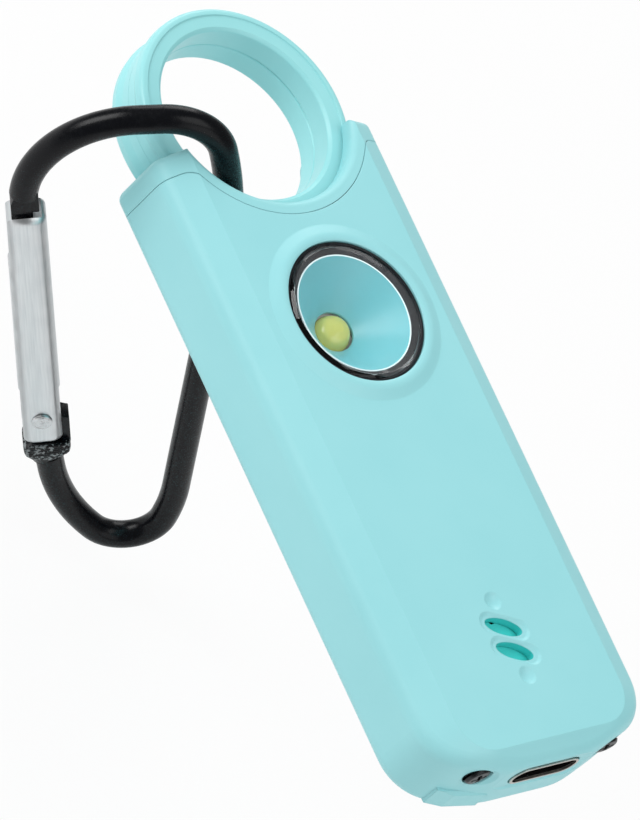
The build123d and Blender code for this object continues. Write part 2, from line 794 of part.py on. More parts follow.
with BuildPart() as sounder_ceramic:
    with BuildSketch(Plane.XY.offset(plate_z)):
        with Locations((0, sounder_y)):
            Circle(ceramic_radius)
    extrude(amount=-ceramic_thickness)
save(sounder_ceramic.part, "sounder_ceramic")

with BuildPart() as sounder_leads:
    with BuildSketch(Plane.XY.offset(board_top_z + solder_gap)):
        with Locations((ledge_radius - 0.6, sounder_y)):
            Circle(lead_radius)
    extrude(amount=plate_z - board_top_z - 2 * solder_gap)
    with BuildSketch(Plane.XY.offset(board_top_z + solder_gap)):
        with Locations((ceramic_radius - 1.0, sounder_y)):
            Circle(lead_radius)
    extrude(amount=plate_z - ceramic_thickness - board_top_z - 2 * solder_gap)
save(sounder_leads.part, "sounder_leads")

# Chips, the field sensor and the step-up coil
with BuildPart() as controller_chip:
    with BuildSketch(Plane.XY.offset(board_top_z + solder_gap)):
        with Locations(controller_place):
            Rectangle(controller_size[0], controller_size[1])
    extrude(amount=controller_size[2])
save(controller_chip.part, "controller_chip")

with BuildPart() as charge_chip:
    with BuildSketch(Plane.XY.offset(board_top_z + solder_gap)):
        with Locations(charge_place):
            Rectangle(charge_size[0], charge_size[1])
    extrude(amount=charge_size[2])
save(charge_chip.part, "charge_chip")

with BuildPart() as field_sensor:
    with BuildSketch(Plane.XY.offset(board_top_z + solder_gap)):
        with Locations(sensor_place):
            Rectangle(sensor_size[0], sensor_size[1])
    extrude(amount=sensor_size[2])
save(field_sensor.part, "field_sensor")

with BuildPart() as coil_core:
    coil_top_z = board_bottom_z - solder_gap
    for flange_z in (coil_top_z, coil_top_z - coil_height + coil_flange):
        with BuildSketch(Plane.XY.offset(flange_z)):
            with Locations(coil_place):
                Circle(coil_flange_radius)
        extrude(amount=-coil_flange)
    with BuildSketch(Plane.XY.offset(coil_top_z)):
        with Locations(coil_place):
            Circle(coil_hub_radius)
    extrude(amount=-coil_height)
save(coil_core.part, "coil_core")

with BuildPart() as coil_winding:
    with BuildSketch(Plane.XY.offset(coil_top_z - coil_flange - solder_gap)):
        with Locations(coil_place):
            Circle(coil_winding_radius)
            Circle(coil_hub_radius + solder_gap, mode=Mode.SUBTRACT)
    extrude(amount=-(coil_height - 2 * coil_flange - 2 * solder_gap))
save(coil_winding.part, "coil_winding")

# Carabiner frame: a bent wire, a flat tab at the nose and a block that carries the rivet
gate_direction = Vector(nose[0] - rivet_place[0], nose[1] - rivet_place[1])
gate_plane = Plane(
    origin=clip_plane.from_local_coords((rivet_place[0], rivet_place[1], 0)),
    x_dir=clip_plane.x_dir * gate_direction.Y - clip_plane.y_dir * gate_direction.X,
    z_dir=clip_plane.z_dir,
)

with BuildPart() as carabiner_frame:
    with BuildLine(clip_plane) as wire_path:
        Polyline(nose, *[corner[:2] for corner in loop_corners], loop_end)
        for across, along, radius in loop_corners:
            bend = clip_plane.from_local_coords((across, along, 0))
            fillet(wire_path.vertices().sort_by_distance(bend)[0], radius=radius)
    with BuildSketch(Plane(origin=wire_path.line @ 0, z_dir=wire_path.line % 0)):
        Circle(wire_radius)
    sweep(path=wire_path.line)
    # Flat nose, narrower where it goes into the gate
    with BuildSketch(gate_plane.offset(-tang_half_thickness)):
        with Locations((0, (gate_top + 0.3 + nose_root) / 2)):
            Rectangle(2 * wire_radius - 0.1, nose_root - gate_top - 0.3)
        with Locations((-0.35, (latch_tab_bottom + gate_top + 0.5) / 2)):
            Rectangle(2.3, gate_top + 0.5 - latch_tab_bottom)
    extrude(amount=2 * tang_half_thickness)
    # Block below the gate
    with BuildSketch(gate_plane.offset(-gate_half_thickness)):
        with BuildLine():
            Polyline(
                (-gate_bottom_half_width, block_top),
                (-gate_bottom_half_width, block_top - 1.6),
                (-wire_radius + 0.25, block_bottom),
                (wire_radius + 0.05, block_bottom),
                (ear_half_width, block_top - 1.4),
                (ear_half_width, block_top),
                close=True,
            )
        make_face()
    extrude(amount=2 * gate_half_thickness)
    # Tang with the rivet hole, and the ear beside it
    with BuildSketch(gate_plane.offset(-tang_half_thickness)):
        with BuildLine():
            Polyline(
                (-tang_half_width, 0),
                (-tang_half_width, block_top - 0.3),
                (ear_half_width, block_top - 0.3),
                (ear_half_width, ear_top),
                (tang_half_width, ear_top),
                (tang_half_width, 0),
                close=True,
            )
        make_face()
        Circle(tang_half_width)
        Circle(rivet_radius + 0.01, mode=Mode.SUBTRACT)
    extrude(amount=2 * tang_half_thickness)
save(carabiner_frame.part, "carabiner_frame")

with BuildPart() as gate_rivet:
    with BuildSketch(gate_plane.offset(-gate_half_thickness - rivet_fit)):
        Circle(rivet_radius)
    extrude(amount=2 * (gate_half_thickness + rivet_fit))
    for face in (gate_half_thickness + rivet_fit, -gate_half_thickness - rivet_fit - rivet_head_height):
        with BuildSketch(gate_plane.offset(face)):
            Circle(rivet_head_radius)
        extrude(amount=rivet_head_height)
save(gate_rivet.part, "gate_rivet")

# Gate: a folded sheet, open on its outer side near both ends, with cheeks past the rivet
with BuildPart() as gate_channel:
    with BuildSketch(gate_plane.offset(-gate_half_thickness)) as gate_outline:
        with BuildLine():
            Polyline(
                (-gate_bottom_half_width, gate_bottom),
                (-gate_top_half_width, gate_top),
                (gate_top_half_width, gate_top),
                (gate_bottom_half_width, gate_bottom),
                close=True,
            )
        make_face()
        fillet(gate_outline.vertices().group_by(Axis.Y)[0], radius=gate_corner_radius)
        fillet(gate_outline.vertices().group_by(Axis.Y)[-1], radius=gate_top_corner_radius)
    extrude(amount=2 * gate_half_thickness)
    long_edges = gate_channel.edges().filter_by(lambda edge: edge.length > 0.8 * gate_top)
    fillet(long_edges, radius=gate_edge_radius)
    inside_half = gate_half_thickness - gate_sheet
    with BuildSketch(gate_plane.offset(-inside_half)):
        with BuildLine():
            Polyline(
                (-gate_bottom_half_width - 1, gate_bottom - 1),
                (-gate_bottom_half_width - 1, gate_web_bottom),
                (gate_sheet - gate_bottom_half_width, gate_web_bottom),
                (gate_sheet - gate_top_half_width, gate_back_top),
                (-gate_top_half_width - 1, gate_back_top),
                (-gate_top_half_width - 1, gate_top + 1),
                (gate_top_half_width - gate_sheet, gate_top + 1),
                (gate_bottom_half_width - gate_sheet, gate_web_bottom),
                (gate_bottom_half_width + 1, gate_web_bottom),
                (gate_bottom_half_width + 1, gate_bottom - 1),
                close=True,
            )
        make_face()
    extrude(amount=2 * inside_half, mode=Mode.SUBTRACT)
    # Tab that the spring pushes on
    with BuildSketch(gate_plane.offset(-inside_half)):
        with Locations((0.4, spring_start + spring_pitch * spring_turns + 0.3 + stop_tab / 2)):
            Rectangle(2.2, stop_tab)
    extrude(amount=2 * inside_half)
    with BuildSketch(gate_plane.offset(-gate_half_thickness - 1)):
        Circle(rivet_radius + rivet_fit)
    extrude(amount=2 * gate_half_thickness + 2, mode=Mode.SUBTRACT)
save(gate_channel.part, "gate_channel")

# Gate spring: stands between the tang's round end and the stop tab in the gate
with BuildPart() as gate_spring:
    with BuildLine() as coil_path:
        Helix(spring_pitch, spring_pitch * spring_turns, spring_coil_radius)
    with BuildSketch(Plane(origin=coil_path.line @ 0, z_dir=coil_path.line % 0)):
        Circle(spring_wire_radius)
    sweep(path=coil_path.line, is_frenet=True)
spring_seat = Location(gate_plane) * Location((spring_across, spring_start, 0), (-90, 0, 0))
gate_spring_placed = spring_seat * gate_spring.part
save(gate_spring_placed, "gate_spring")
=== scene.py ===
"""Personal safety alarm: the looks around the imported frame.

Shapes are worked out in millimetres in the row frame: X runs across the case, Y
towards the pull ring and Z out of the front face. make_piece() turns them into
metres.
"""
import json

import bmesh
import bpy
import numpy as np
from mathutils import Matrix


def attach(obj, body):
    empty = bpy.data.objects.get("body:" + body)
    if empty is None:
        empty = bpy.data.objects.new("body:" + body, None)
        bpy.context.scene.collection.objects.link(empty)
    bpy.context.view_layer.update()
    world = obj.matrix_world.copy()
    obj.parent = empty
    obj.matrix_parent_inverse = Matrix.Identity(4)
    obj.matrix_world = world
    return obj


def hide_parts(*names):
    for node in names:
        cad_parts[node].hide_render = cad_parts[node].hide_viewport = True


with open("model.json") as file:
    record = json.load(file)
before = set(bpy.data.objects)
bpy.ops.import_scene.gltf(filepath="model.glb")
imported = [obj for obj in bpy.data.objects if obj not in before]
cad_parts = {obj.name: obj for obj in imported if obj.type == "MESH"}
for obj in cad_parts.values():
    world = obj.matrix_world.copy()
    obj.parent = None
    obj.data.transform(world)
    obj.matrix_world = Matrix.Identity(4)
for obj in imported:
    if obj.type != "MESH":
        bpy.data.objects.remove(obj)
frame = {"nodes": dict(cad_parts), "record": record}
bpy.context.view_layer.update()

MM = 0.001

# Sizes shared with the solids
ring_y = 41.0
ring_outer_radius = 12.95
ring_inner_radius = 10.2
ring_step_radius = 10.6
ring_groove_radius = 12.0
ring_waist_radius = 12.55
ring_middle_z = 5.4
ring_half = 3.3
lens_y = 15.54
window_radius = 7.95
window_low_z = 10.38
window_high_z = 11.18
gasket_low_z = 9.95
gasket_high_z = 11.0
gasket_inner_radius = 6.95
gasket_outer_radius = 8.3
cone_top_radius = 6.82
cone_low_radius = 2.1
cone_low_z = 6.4
cup_rim_z = 10.33
lamp_dome_z = 5.98
screw_x = 8.85
screw_z = 7.3
screw_seat_y = -35.3
screw_head_height = 1.0
screw_head_radius = 1.5
screw_shank_radius = 0.95
screw_length = 7.8
wire_radius = 1.55
gate_half_thickness = 1.8
tang_half_thickness = 1.0
block_top = -4.6
block_length = 3.4
rivet_radius = 0.75
rivet_head_radius = 1.15
rivet_head_height = 0.35
rivet_clearance = 0.05

# The carabiner's flat loop, in its own plane: points with corner radii
clip_origin = np.array([-5.701, 31.274, -17.071])
clip_across = np.array([0.80468, -0.32506, 0.49682])
clip_normal = np.array([-0.44346, -0.88547, 0.1389])
clip_along = np.cross(clip_normal, clip_across)
nose = np.array([-10.05, 21.58])
rivet_place = np.array([-9.23, -14.72])
loop_corners = [
    ((-10.05, 21.58), 0),
    ((-8.66, 32.48), 11.62),
    ((10.4, 31.47), 6.73),
    ((12.2, 17.14), 62.6),
    ((4.96, -32.46), 22.6),
    ((0.78, -43.17), 4.58),
    ((-7.78, -30.81), 23.5),
    ((-8.6, -22.31), 0),
]
gate_lean = (nose - rivet_place) / np.linalg.norm(nose - rivet_place)


class Place:
    """A local frame: a point is origin + x times right + y times up + z times out."""

    def __init__(self, origin, right, up, out):
        self.origin = np.array(origin, float)
        self.axes = np.array([right, up, out], float)

    def put(self, points):
        return self.origin + np.asarray(points, float) @ self.axes


clip = Place(clip_origin, clip_across, clip_along, clip_normal)
gate = Place(
    clip.put([rivet_place[0], rivet_place[1], 0]),
    clip_across * gate_lean[1] - clip_along * gate_lean[0],
    clip_across * gate_lean[0] + clip_along * gate_lean[1],
    clip_normal,
)


# Shapes


def rounded(corners, step=0.12, closed=True):
    """Straight runs with a tangent arc at each corner. A corner is a point and
    its radius. An arc's points are sums of its first and last radius, weighted
    by the sines of the angle that is left and of the angle that is done."""
    rows = []
    count = len(corners)
    for i, (corner, radius) in enumerate(corners):
        here = np.array(corner, float)
        if radius == 0 or (not closed and i in (0, count - 1)):
            rows.append(here[None])
            continue
        back = np.array(corners[i - 1][0], float) - here
        ahead = np.array(corners[(i + 1) % count][0], float) - here
        back /= np.linalg.norm(back)
        ahead /= np.linalg.norm(ahead)
        opening = np.arccos(np.clip(back @ ahead, -1, 1))
        bisector = (back + ahead) / np.linalg.norm(back + ahead)
        centre = here + bisector * radius / np.sin(opening / 2)
        reach = radius / np.tan(opening / 2)
        first = here + back * reach - centre
        last = here + ahead * reach - centre
        sweep = np.pi - opening
        steps = int(np.clip(np.ceil(radius * sweep / step), 3, 200))
        t = np.linspace(0, 1, steps + 1)[:, None]
        arc = np.sin((1 - t) * sweep) * first + np.sin(t * sweep) * last
        rows.append(centre + arc / np.sin(sweep))
    return np.vstack(rows)


def grid(points, round_rows=False, round_columns=False):
    """Faces of four between neighbours in a grid of points, joined end to start
    along each direction that goes round. Returns flat points and faces."""
    rows, columns = points.shape[:2]
    r = np.arange(rows if round_rows else rows - 1)
    c = np.arange(columns if round_columns else columns - 1)
    r, c = np.meshgrid(r, c, indexing="ij")
    r_next, c_next = (r + 1) % rows, (c + 1) % columns
    corners = [r * columns + c, r * columns + c_next, r_next * columns + c_next, r_next * columns + c]
    return points.reshape(-1, 3), np.stack(corners, -1).reshape(-1, 4)


def turned(profile, place, turns=128):
    """A closed profile of radius and height carried round the place's out axis:
    right times radius and cosine, up times radius and sine."""
    angle = np.linspace(0, 2 * np.pi, turns, endpoint=False)[:, None]
    radius, height = profile[:, 0], profile[:, 1]
    x = radius * np.cos(angle)
    y = radius * np.sin(angle)
    z = np.broadcast_to(height, x.shape)
    return grid(place.put(np.stack([x, y, z], -1)), True, True)


def carried(path, section, place):
    """A closed section carried along a flat path in the place: a point is the
    path's point, plus its sideways direction times the section's first number,
    plus out times the second. Ends are closed with flat rings drawn to a point."""
    slope = np.gradient(path, axis=0)
    slope /= np.linalg.norm(slope, axis=1, keepdims=True)
    sideways = np.stack([slope[:, 1], -slope[:, 0]], -1)
    flat = path[:, None, :] + sideways[:, None, :] * section[None, :, :1]
    out = np.broadcast_to(section[:, 1], flat.shape[:2])[..., None]
    rows = np.concatenate([flat, out], -1)
    first = np.broadcast_to(rows[:1].mean(1, keepdims=True), rows[:1].shape)
    last = np.broadcast_to(rows[-1:].mean(1, keepdims=True), rows[-1:].shape)
    return grid(place.put(np.concatenate([first, rows, last])), False, True)


def slab(outline, low, high, edge, place):
    """A flat outline made a slab with soft edges: the outline shrinks along its
    own inward direction by edge times one less the cosine, while its height
    rounds over by edge times the sine. Both flat faces run to the middle."""
    ahead = np.roll(outline, -1, 0) - np.roll(outline, 1, 0)
    ahead /= np.linalg.norm(ahead, axis=1, keepdims=True)
    inward = np.stack([-ahead[:, 1], ahead[:, 0]], -1)
    x, y = outline[:, 0], outline[:, 1]
    if np.sum(x * np.roll(y, -1) - y * np.roll(x, -1)) < 0:
        inward = -inward
    turn = np.linspace(0, np.pi / 2, 5)
    shrink = edge * (1 - np.cos(turn))
    drop = edge * (1 - np.sin(turn))
    levels = np.concatenate([low + drop[::-1], high - drop])
    insets = np.concatenate([shrink[::-1], shrink])
    flat = outline[None] + inward[None] * insets[:, None, None]
    rows = np.concatenate([flat, np.broadcast_to(levels[:, None, None], flat.shape[:2] + (1,))], -1)
    middle_low = np.broadcast_to(rows[:1].mean(1, keepdims=True), rows[:1].shape)
    middle_high = np.broadcast_to(rows[-1:].mean(1, keepdims=True), rows[-1:].shape)
    return grid(place.put(np.concatenate([middle_low, rows, middle_high])), False, True)


def together(*shapes):
    """Several shapes as one list of points and one of faces."""
    points, faces, start = [], [], 0
    for shape_points, shape_faces in shapes:
        points.append(shape_points)
        faces.append(shape_faces + start)
        start += len(shape_points)
    return np.vstack(points), np.vstack(faces)


def make_piece(name, shape, body, finish, stands_for=(), sharp=35):
    """A mesh object at the origin from points in millimetres. Doubled points
    are merged, which closes poles and seams, and faces are turned outwards."""
    points, faces = shape
    mesh = bpy.data.meshes.new(name)
    mesh.from_pydata((points * MM).tolist(), [], faces.tolist())
    work = bmesh.new()
    work.from_mesh(mesh)
    bmesh.ops.remove_doubles(work, verts=work.verts, dist=1e-7)
    bmesh.ops.dissolve_degenerate(work, edges=work.edges, dist=1e-8)
    bmesh.ops.recalc_face_normals(work, faces=work.faces)
    work.to_mesh(mesh)
    work.free()
    mesh.shade_smooth()
    mesh.set_sharp_from_angle(angle=np.radians(sharp))
    piece = bpy.data.objects.new(name, mesh)
    bpy.context.scene.collection.objects.link(piece)
    mesh.materials.append(finishes[finish])
    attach(piece, body)
    if stands_for:
        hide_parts(*stands_for)
    return piece


# Finishes

finishes = {}
gate_start = tuple(float(v) * MM for v in gate.origin)
gate_turn = tuple(Matrix([[float(v) for v in row] for row in gate.axes.T]).to_euler())


class Finish:
    """A material with one Principled shader. Plain values go straight on its
    sockets; patterns read Object coordinates."""

    def __init__(self, slot, colour, roughness, **values):
        material = bpy.data.materials.new(slot)
        material.use_nodes = True
        self.tree = material.node_tree
        self.shader = self.tree.nodes["Principled BSDF"]
        self.shader.inputs["Base Color"].default_value = (*colour, 1)
        self.shader.inputs["Roughness"].default_value = roughness
        for socket, value in values.items():
            self.shader.inputs[socket.replace("_", " ")].default_value = value
        self.colour = colour
        self.coordinates = self.tree.nodes.new("ShaderNodeTexCoord").outputs["Object"]
        self.last_bump = None
        finishes[slot] = material

    def node(self, kind, values=(), **settings):
        made = self.tree.nodes.new(kind)
        for key, value in settings.items():
            setattr(made, key, value)
        for key, value in dict(values).items():
            made.inputs[key].default_value = value
        return made

    def link(self, start, end):
        self.tree.links.new(start, end)

    def noise(self, scale, detail=2.0, stretch=(1, 1, 1), turn=(0, 0, 0)):
        made = self.node("ShaderNodeTexNoise", {"Scale": scale, "Detail": detail})
        if stretch != (1, 1, 1) or turn != (0, 0, 0):
            marks = {"Scale": stretch, "Rotation": turn}
            mapping = self.node("ShaderNodeMapping", marks, vector_type="TEXTURE")
            self.link(self.coordinates, mapping.inputs["Vector"])
            self.link(mapping.outputs["Vector"], made.inputs["Vector"])
        else:
            self.link(self.coordinates, made.inputs["Vector"])
        return made.outputs["Fac"]

    def spread(self, factor, low, high, to_low, to_high):
        ends = {"From Min": low, "From Max": high, "To Min": to_low, "To Max": to_high}
        made = self.node("ShaderNodeMapRange", ends)
        self.link(factor, made.inputs["Value"])
        return made.outputs["Result"]

    def tint(self, factor, other):
        """Base colour goes from its own colour to the other along the factor."""
        socket = self.shader.inputs["Base Color"]
        mix = self.node("ShaderNodeMix", data_type="RGBA")
        if socket.is_linked:
            self.link(socket.links[0].from_socket, mix.inputs["A"])
        else:
            mix.inputs["A"].default_value = (*self.colour, 1)
        mix.inputs["B"].default_value = (*other, 1)
        self.link(factor, mix.inputs["Factor"])
        self.link(mix.outputs["Result"], socket)
        return self

    def inside(self, middle, half):
        """1 within a box of the row frame, told in millimetres, and 0 outside it."""
        split = self.node("ShaderNodeSeparateXYZ")
        self.link(self.coordinates, split.inputs[0])
        factor = None
        for axis in range(3):
            limits = {1: middle[axis] * MM, 2: half[axis] * MM}
            near = self.node("ShaderNodeMath", limits, operation="COMPARE")
            self.link(split.outputs[axis], near.inputs[0])
            if factor is None:
                factor = near.outputs[0]
            else:
                both = self.node("ShaderNodeMath", operation="MULTIPLY")
                self.link(factor, both.inputs[0])
                self.link(near.outputs[0], both.inputs[1])
                factor = both.outputs[0]
        return factor

    def along_gate(self):
        """The gate's own three coordinates in metres, measured from its rivet."""
        where = {"Location": gate_start, "Rotation": gate_turn}
        mapping = self.node("ShaderNodeMapping", where, vector_type="TEXTURE")
        self.link(self.coordinates, mapping.inputs["Vector"])
        split = self.node("ShaderNodeSeparateXYZ")
        self.link(mapping.outputs["Vector"], split.inputs[0])
        return split.outputs

    def gloss(self, factor, low, high):
        self.link(self.spread(factor, 0.3, 0.7, low, high), self.shader.inputs["Roughness"])
        return self

    def bump(self, factor, strength, depth):
        """Bumps of the given depth in millimetres, laid over any earlier ones."""
        made = self.node("ShaderNodeBump", {"Strength": strength, "Distance": depth * MM})
        self.link(factor, made.inputs["Height"])
        if self.last_bump is not None:
            self.link(self.last_bump, made.inputs["Normal"])
        self.last_bump = made.outputs["Normal"]
        self.link(self.last_bump, self.shader.inputs["Normal"])
        return self


def moulded(slot, colour, deep, roughness, grain=0.25, soft_edge=0.0, shine=0.5):
    """Moulded plastic: a slight unevenness of tone, a fine moulded grain, a
    gloss that varies a little over the surface and edges that are a touch
    soft."""
    made = Finish(slot, colour, roughness, Specular_IOR_Level=shine)
    if soft_edge:
        edge = made.node("ShaderNodeBevel", {"Radius": soft_edge * MM}, samples=6)
        made.last_bump = edge.outputs["Normal"]
    made.tint(made.spread(made.noise(70, 3), 0.35, 0.7, 0, 0.35), deep)
    made.gloss(made.noise(420, 3), roughness - 0.05, roughness + 0.07)
    made.bump(made.noise(5200, 2), grain, 0.006)
    made.bump(made.noise(160, 2), 0.15, 0.05)
    return made


def metal(slot, colour, dark, roughness, stretch=(1, 1, 1), turn=(0, 0, 0), scale=2600, strength=0.3):
    """Metal with fine marks that may run in one direction, and a duller patchy
    gloss."""
    made = Finish(slot, colour, roughness, Metallic=1.0)
    made.tint(made.spread(made.noise(scale, 3, stretch, turn), 0.35, 0.75, 0, 0.6), dark)
    made.gloss(made.noise(500, 3), roughness - 0.06, roughness + 0.1)
    made.bump(made.noise(scale, 3, stretch, turn), strength, 0.008)
    return made


aqua = (0.355, 0.775, 0.815)
aqua_deep = (0.30, 0.715, 0.76)
shell = moulded("aqua_shell", aqua, aqua_deep, 0.4, soft_edge=0.18)
# Painted shade: the walls of the sound slots are tinted a darker, deeper teal for the shade inside them
slot_wall_shade = shell.inside((0.2, -23.4, 9.3), (3.4, 3.2, 1.2))
shell.tint(slot_wall_shade, (0.07, 0.68, 0.66))
moulded("aqua_core", (0.35, 0.77, 0.805), aqua_deep, 0.42, soft_edge=0.12)
moulded("aqua_ring", (0.355, 0.79, 0.81), aqua_deep, 0.34, grain=0.12)
cup = moulded("aqua_cup", (0.12, 0.44, 0.49), (0.1, 0.4, 0.45), 0.36, grain=0.05)
# Painted highlight: a thin near-white ring on the cup's rim, just under the window's inner edge
cup.tint(cup.inside((0, lens_y, 10.4), (8, 8, 0.12)), (0.75, 0.9, 0.92))
moulded("teal_sounder", (0.07, 0.78, 0.75), (0.06, 0.7, 0.67), 0.5)

window = Finish("clear_window", (1, 1, 1), 0.02, Transmission_Weight=1.0, IOR=1.46)
window.gloss(window.noise(900, 2), 0.0, 0.03)
window.bump(window.noise(300, 2), 0.05, 0.01)
shadow = window.node("ShaderNodeLightPath")
clear = window.node("ShaderNodeBsdfTransparent")
passing = window.node("ShaderNodeMixShader")
window.link(shadow.outputs["Is Shadow Ray"], passing.inputs["Fac"])
window.link(window.shader.outputs["BSDF"], passing.inputs[1])
window.link(clear.outputs["BSDF"], passing.inputs[2])
window.link(passing.outputs["Shader"], window.tree.nodes["Material Output"].inputs["Surface"])

moulded("black_gasket", (0.012, 0.015, 0.018), (0.02, 0.023, 0.026), 0.3, grain=0.1, shine=0.3)
moulded("black_plastic", (0.02, 0.02, 0.022), (0.035, 0.035, 0.037), 0.45, grain=0.3)
moulded("white_ceramic", (0.82, 0.8, 0.74), (0.72, 0.7, 0.62), 0.4, grain=0.1)
moulded("grey_foam", (0.35, 0.36, 0.37), (0.22, 0.22, 0.23), 0.9, grain=1.0)
moulded("green_board", (0.02, 0.13, 0.05), (0.012, 0.09, 0.035), 0.35, grain=0.2)
moulded("red_lead", (0.5, 0.02, 0.02), (0.35, 0.01, 0.01), 0.4, grain=0.1)

phosphor = Finish("yellow_phosphor", (0.5, 0.54, 0.12), 0.26, Coat_Weight=0.5, Coat_Roughness=0.08)
phosphor.tint(phosphor.spread(phosphor.noise(700, 3), 0.35, 0.7, 0, 0.6), (0.42, 0.44, 0.08))
phosphor.bump(phosphor.noise(3000, 2), 0.1, 0.01)

wire = Finish("black_wire", (0.003, 0.0035, 0.005), 0.3, Specular_IOR_Level=0.22)
wire.tint(wire.spread(wire.noise(1200, 3), 0.5, 0.8, 0, 0.7), (0.007, 0.008, 0.01))
wire.gloss(wire.noise(2600, 3), 0.22, 0.3)
wire.bump(wire.noise(6500, 2), 0.35, 0.01)
# Worn specks, only where the knurled block is
worn = wire.spread(wire.noise(2300, 4), 0.52, 0.6, 0, 0.6)
for axis, middle, half in ((0, 0.0, 0.0034), (1, -0.0059, 0.0014)):
    on_block = wire.node("ShaderNodeMath", {1: middle, 2: half}, operation="COMPARE")
    wire.link(wire.along_gate()[axis], on_block.inputs[0])
    both = wire.node("ShaderNodeMath", operation="MULTIPLY")
    wire.link(on_block.outputs[0], both.inputs[0])
    wire.link(worn, both.inputs[1])
    worn = both.outputs[0]
wire.tint(worn, (0.42, 0.45, 0.46))

metal("black_screw", (0.055, 0.06, 0.062), (0.02, 0.022, 0.024), 0.3)
metal("steel", (0.6, 0.6, 0.59), (0.42, 0.42, 0.42), 0.3)
port = metal("port_steel", (0.62, 0.6, 0.56), (0.4, 0.38, 0.34), 0.28)
# Painted shade: the steel inside the port, behind its rim, is tinted near black for the shade within it
port.tint(port.inside((0, -33.2, 6.95), (6, 3.55, 3)), (0.06, 0.06, 0.06))
metal("brass_plate", (0.76, 0.55, 0.22), (0.55, 0.38, 0.13), 0.35)
metal("magnet_plate", (0.66, 0.66, 0.68), (0.5, 0.5, 0.52), 0.2)
metal("ferrite", (0.1, 0.1, 0.11), (0.05, 0.05, 0.055), 0.6)
metal("copper", (0.75, 0.32, 0.15), (0.5, 0.18, 0.08), 0.3, stretch=(10, 10, 0.2))
metal("silver_pouch", (0.72, 0.73, 0.75), (0.58, 0.59, 0.61), 0.4, strength=0.15)
silver = metal("silver_gate", (0.8, 0.82, 0.83), (0.62, 0.65, 0.67), 0.34, (1, 30, 1), gate_turn, 5200, 0.4)
# The cheeks shade as if crowned: a height falls with the square of the way from the middle
across_gate = silver.along_gate()[0]
squared = silver.node("ShaderNodeMath", operation="MULTIPLY")
silver.link(across_gate, squared.inputs[0])
silver.link(across_gate, squared.inputs[1])
crown = silver.node("ShaderNodeMath", {1: -200.0}, operation="MULTIPLY")
silver.link(squared.outputs[0], crown.inputs[0])
silver.bump(crown.outputs[0], 1.0, 1000)
metal("silver_rivet", (0.74, 0.75, 0.76), (0.5, 0.52, 0.53), 0.26)

slot_of = {}
for row in frame["record"]["materials"]:
    for node_name in row.get("nodes", []):
        slot_of[node_name] = row["slot"]
for node_name, node in frame["nodes"].items():
    for holder in node.material_slots:
        if holder.material:
            slot_name = slot_of.get(node_name, holder.material.name.split(".")[0])
            holder.material = finishes[slot_name]


# Pull ring


def ring_half_profile(side):
    """Section of one ring half, from the inside wall round the face groove and
    the soft outer edge to the waist, with a fine groove at the joint."""
    face = ring_half
    joint = 0.02
    corners = [
        ((ring_inner_radius + 0.12, joint), 0),
        ((ring_inner_radius, joint + 0.12), 0.05),
        ((ring_inner_radius, face - 0.5), 0.3),
        ((ring_step_radius, face - 0.17), 0.12),
        ((ring_groove_radius - 0.05, face - 0.17), 0.04),
        ((ring_groove_radius + 0.02, face), 0.06),
        ((ring_outer_radius - 0.12, face - 0.06), 0.55),
        ((ring_outer_radius, face - 1.25), 0.35),
        ((ring_waist_radius, face - 2.0), 0.5),
        ((ring_waist_radius, joint), 0),
    ]
    profile = rounded(corners, 0.05)
    return profile * [1, side]


ring_place = Place((0, ring_y, ring_middle_z), (1, 0, 0), (0, 1, 0), (0, 0, 1))
ring_halves = [("ring_front_half", "ring_front", 1), ("ring_rear_half", "ring_rear", -1)]
for piece_name, node_name, ring_side in ring_halves:
    half_shape = turned(ring_half_profile(ring_side), ring_place, 220)
    make_piece(piece_name, half_shape, "pull_ring", "aqua_ring", [node_name])


# Lens and lamp

lens_place = Place((0, lens_y, 0), (1, 0, 0), (0, 1, 0), (0, 0, 1))

window_profile = rounded(
    [
        ((0, window_low_z), 0),
        ((window_radius, window_low_z), 0.06),
        ((window_radius, window_high_z - 0.35), 0.08),
        ((window_radius - 0.42, window_high_z), 0.1),
        ((0, window_high_z), 0),
    ],
    0.03,
)
window_shape = turned(window_profile, lens_place, 160)
make_piece("lens_disc", window_shape, "case", "clear_window", ["lens_window"], sharp=60)

gasket_profile = rounded(
    [
        ((gasket_inner_radius, gasket_low_z), 0.06),
        ((gasket_outer_radius, gasket_low_z), 0.1),
        ((gasket_outer_radius, gasket_high_z), 0.12),
        ((window_radius + 0.03, gasket_high_z), 0.12),
        ((window_radius + 0.03, gasket_low_z + 0.4), 0.04),
        ((gasket_inner_radius, gasket_low_z + 0.4), 0.1),
    ],
    0.03,
)
make_piece("lens_ring", turned(gasket_profile, lens_place, 160), "case", "black_gasket", ["lens_gasket"])

cup_profile = rounded(
    [
        ((cone_low_radius, cone_low_z), 0.1),
        ((3.6, cone_low_z), 0.1),
        ((3.6, 5.58), 0.1),
        ((4.5, 5.58), 0.1),
        ((4.5, cone_low_z + 1.0), 0.3),
        ((7.25, 9.5), 0.2),
        ((gasket_outer_radius, 9.5), 0.1),
        ((gasket_outer_radius, gasket_low_z - 0.03), 0.05),
        ((gasket_inner_radius - 0.03, gasket_low_z - 0.03), 0.02),
        ((gasket_inner_radius - 0.03, cup_rim_z), 0.05),
        ((cone_top_radius, cup_rim_z), 0.05),
        ((5.1, 9.02), 12.0),
        ((cone_low_radius, cone_low_z + 0.3), 0.15),
    ],
    0.04,
)
make_piece("light_cone", turned(cup_profile, lens_place, 160), "case", "aqua_cup", ["reflector_cup"])

